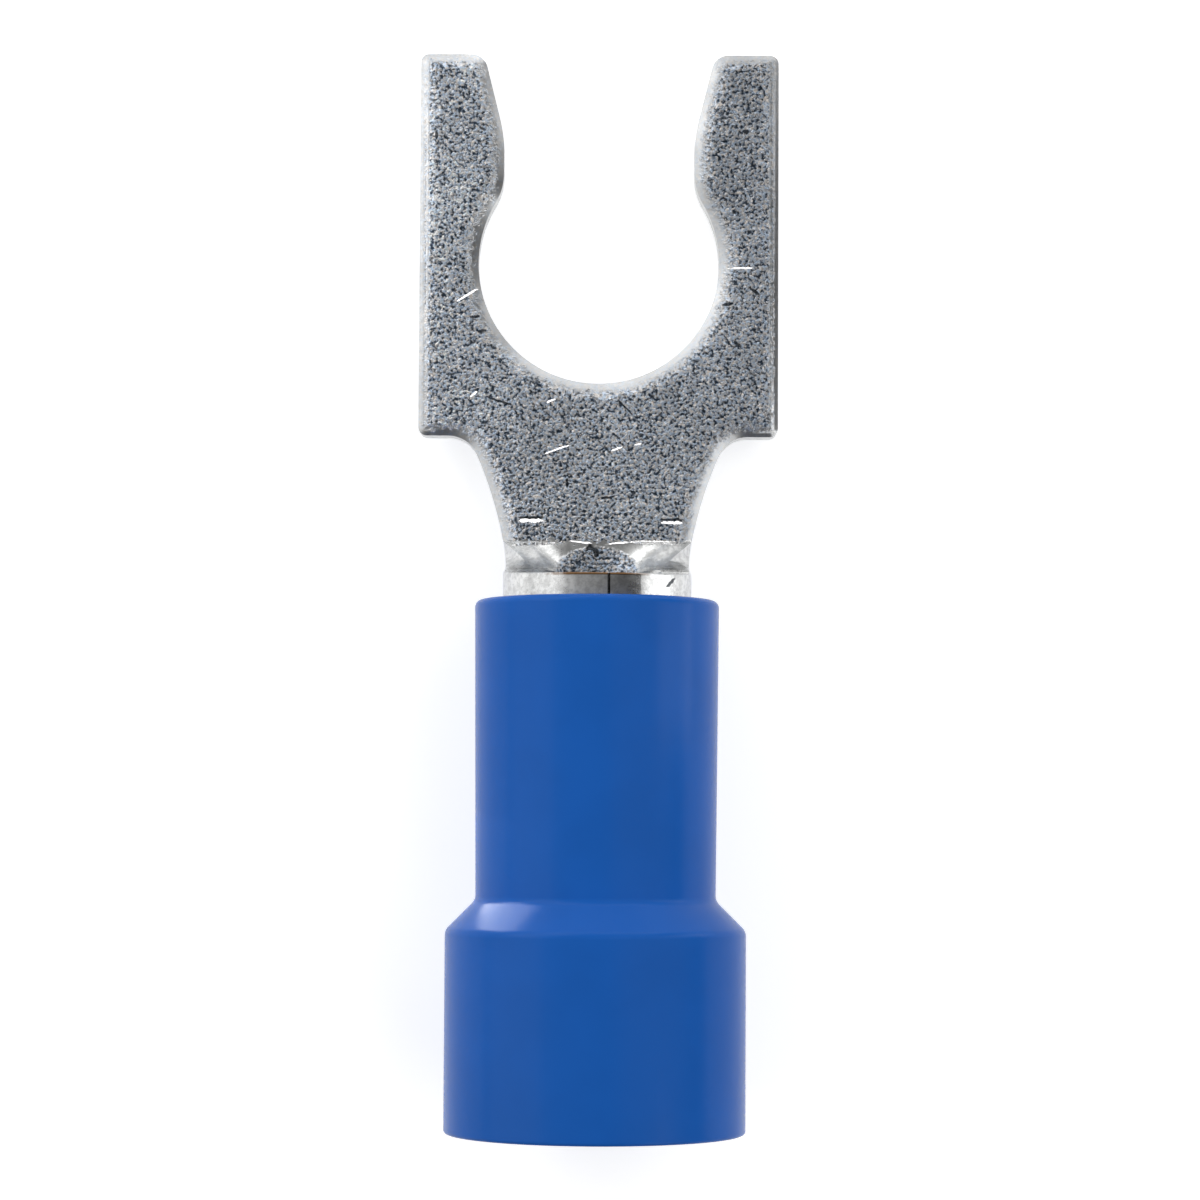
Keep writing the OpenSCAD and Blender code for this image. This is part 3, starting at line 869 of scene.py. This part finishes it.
def floor_material(finishes):
    """White paper that stays white to the camera and in the metal, and keeps the shadow."""
    material, tree, _, _ = new_material("floor_paper")
    path = add_node(tree, "ShaderNodeLightPath").outputs
    mirrored = math_node(tree, "ADD", path["Is Glossy Ray"], path["Is Transmission Ray"], clamp=True)
    glow = math_node(tree, "MULTIPLY", path["Is Camera Ray"], CAMERA_GLOW)
    glow = math_node(tree, "MULTIPLY_ADD", mirrored, MIRROR_GLOW, glow)
    paper = add_node(tree, "ShaderNodeBsdfDiffuse", {"Color": rgba(finishes.floor)})
    glow = add_node(tree, "ShaderNodeEmission", {"Strength": glow})
    front = add_node(tree, "ShaderNodeAddShader", {0: paper.outputs["BSDF"], 1: glow.outputs["Emission"]})
    clear = add_node(tree, "ShaderNodeBsdfTransparent")
    side = add_node(tree, "ShaderNodeNewGeometry").outputs["Backfacing"]
    both = add_node(tree, "ShaderNodeMixShader", {0: side, 1: front.outputs[0], 2: clear.outputs[0]})
    add_node(tree, "ShaderNodeOutputMaterial", {"Surface": both.outputs[0]})
    return material


def in_metres(millimetres):
    """A point given in millimetres."""
    return Vector([part * MM for part in millimetres])


def aim(place, target):
    """The turn of a lamp or camera that looks from one point at another."""
    return (target - place).to_track_quat("-Z", "Y")


def add_lamp(name, place, target, width, height, radiance, use):
    """An area lamp with a given brightness of its face."""
    lamp = bpy.data.lights.new(name, "AREA")
    lamp.shape = "RECTANGLE"
    lamp.size, lamp.size_y = width * MM, height * MM
    lamp.energy = radiance * math.pi * (width * MM) * (height * MM)
    box = bpy.data.objects.new(name, lamp)
    box.location = in_metres(place)
    box.rotation_euler = aim(in_metres(place), in_metres(target)).to_euler()
    box.visible_camera = False
    box.visible_glossy = use != LIGHT_ONLY
    box.visible_diffuse = use != MIRROR_ONLY
    bpy.context.collection.objects.link(box)


def set_world():
    """A dim studio, darker to the right and the back, which the camera sees as white."""
    world = bpy.data.worlds.new("studio")
    world.use_nodes = True
    tree = world.node_tree
    tree.nodes.clear()
    direction = add_node(tree, "ShaderNodeTexCoord").outputs["Generated"]
    away = add_node(
        tree, "ShaderNodeVectorMath", {0: direction, 1: DIM_TOWARDS}, operation="DOT_PRODUCT"
    ).outputs["Value"]
    dim = ramp(tree, away, *DIM_SPAN, *DIM_LEVELS)
    seen = add_node(tree, "ShaderNodeLightPath").outputs["Is Camera Ray"]
    background = add_node(tree, "ShaderNodeBackground", {"Strength": math_node(tree, "MAXIMUM", dim, seen)})
    add_node(tree, "ShaderNodeOutputWorld", {"Surface": background.outputs["Background"]})
    bpy.context.scene.world = world


class BuildStage(bpy.types.Operator):
    """Lay the floor under the tips and the bell, and set up the studio and the camera"""

    bl_idname = "fork_terminal.stage"
    bl_label = "Stage"

    def execute(self, context):
        settings = context.scene.fork_terminal
        self.lay_floor(settings)
        set_world()
        for lamp in LAMPS:
            add_lamp(*lamp)
        self.place_camera(context)
        context.scene.view_settings.view_transform = "Standard"
        return {"FINISHED"}

    def lay_floor(self, settings):
        """The part rests on the lower edges of its tips and on the front of its bell, so the floor leans."""
        touch = Vector((0, SLEEVE_LOW.y + settings.sleeve.step - TOUCH_BACK, SLEEVE_LOW.z))
        lean = math.atan2(METAL_LOW.z - touch.z, METAL_HIGH.y - touch.y)
        bm = bmesh.new()
        bmesh.ops.create_grid(bm, x_segments=1, y_segments=1, size=FLOOR_HALF)
        bmesh.ops.rotate(bm, verts=bm.verts, cent=(0, 0, 0), matrix=Matrix.Rotation(lean, 3, "X"))
        bmesh.ops.translate(bm, verts=bm.verts, vec=touch)
        mesh = bpy.data.meshes.new("floor")
        bm.to_mesh(mesh)
        bm.free()
        mesh.materials.append(floor_material(settings.finishes))
        floor = bpy.data.objects.new("floor", mesh)
        bpy.context.collection.objects.link(floor)

    def place_camera(self, context):
        """Looks straight down on the part, as the photograph does."""
        camera = bpy.data.cameras.new("camera")
        camera.sensor_width = CAMERA_SENSOR
        camera.lens = CAMERA_LENS
        camera.clip_start = CAMERA_CLIP
        view = bpy.data.objects.new("camera", camera)
        view.location = in_metres(CAMERA_PLACE)
        turn = aim(view.location, in_metres(CAMERA_TARGET)).to_matrix()
        view.rotation_euler = (turn @ Matrix.Rotation(CAMERA_ROLL, 3, "Z")).to_euler()
        context.collection.objects.link(view)
        context.scene.camera = view


class TerminalPanel(bpy.types.Panel):
    """Lists the steps that build the terminal"""

    bl_idname = "VIEW3D_PT_fork_terminal"
    bl_label = "Fork Terminal"
    bl_space_type = "VIEW_3D"
    bl_region_type = "UI"
    bl_category = "Terminal"

    def draw(self, context):
        for step in (BuildMetal, BuildSleeve, BuildStage):
            self.layout.operator(step.bl_idname)
        settings = context.scene.fork_terminal
        for group in (settings.fork, settings.barrel, settings.sleeve, settings.finishes):
            box = self.layout.box()
            for name in group.bl_rna.properties.keys():
                if name not in ("rna_type", "name"):
                    box.prop(group, name)


CLASSES = (
    ForkSizes, BarrelSizes, SleeveSizes, Finishes, TerminalSettings,
    BuildMetal, BuildSleeve, BuildStage, TerminalPanel,
)


def register():
    for entry in CLASSES:
        bpy.utils.register_class(entry)
    bpy.types.Scene.fork_terminal = PointerProperty(type=TerminalSettings)


def unregister():
    del bpy.types.Scene.fork_terminal
    for entry in reversed(CLASSES):
        bpy.utils.unregister_class(entry)


def main():
    register()
    bpy.ops.fork_terminal.metal()
    bpy.ops.fork_terminal.sleeve()
    bpy.ops.fork_terminal.stage()


if __name__ == "__main__":
    main()
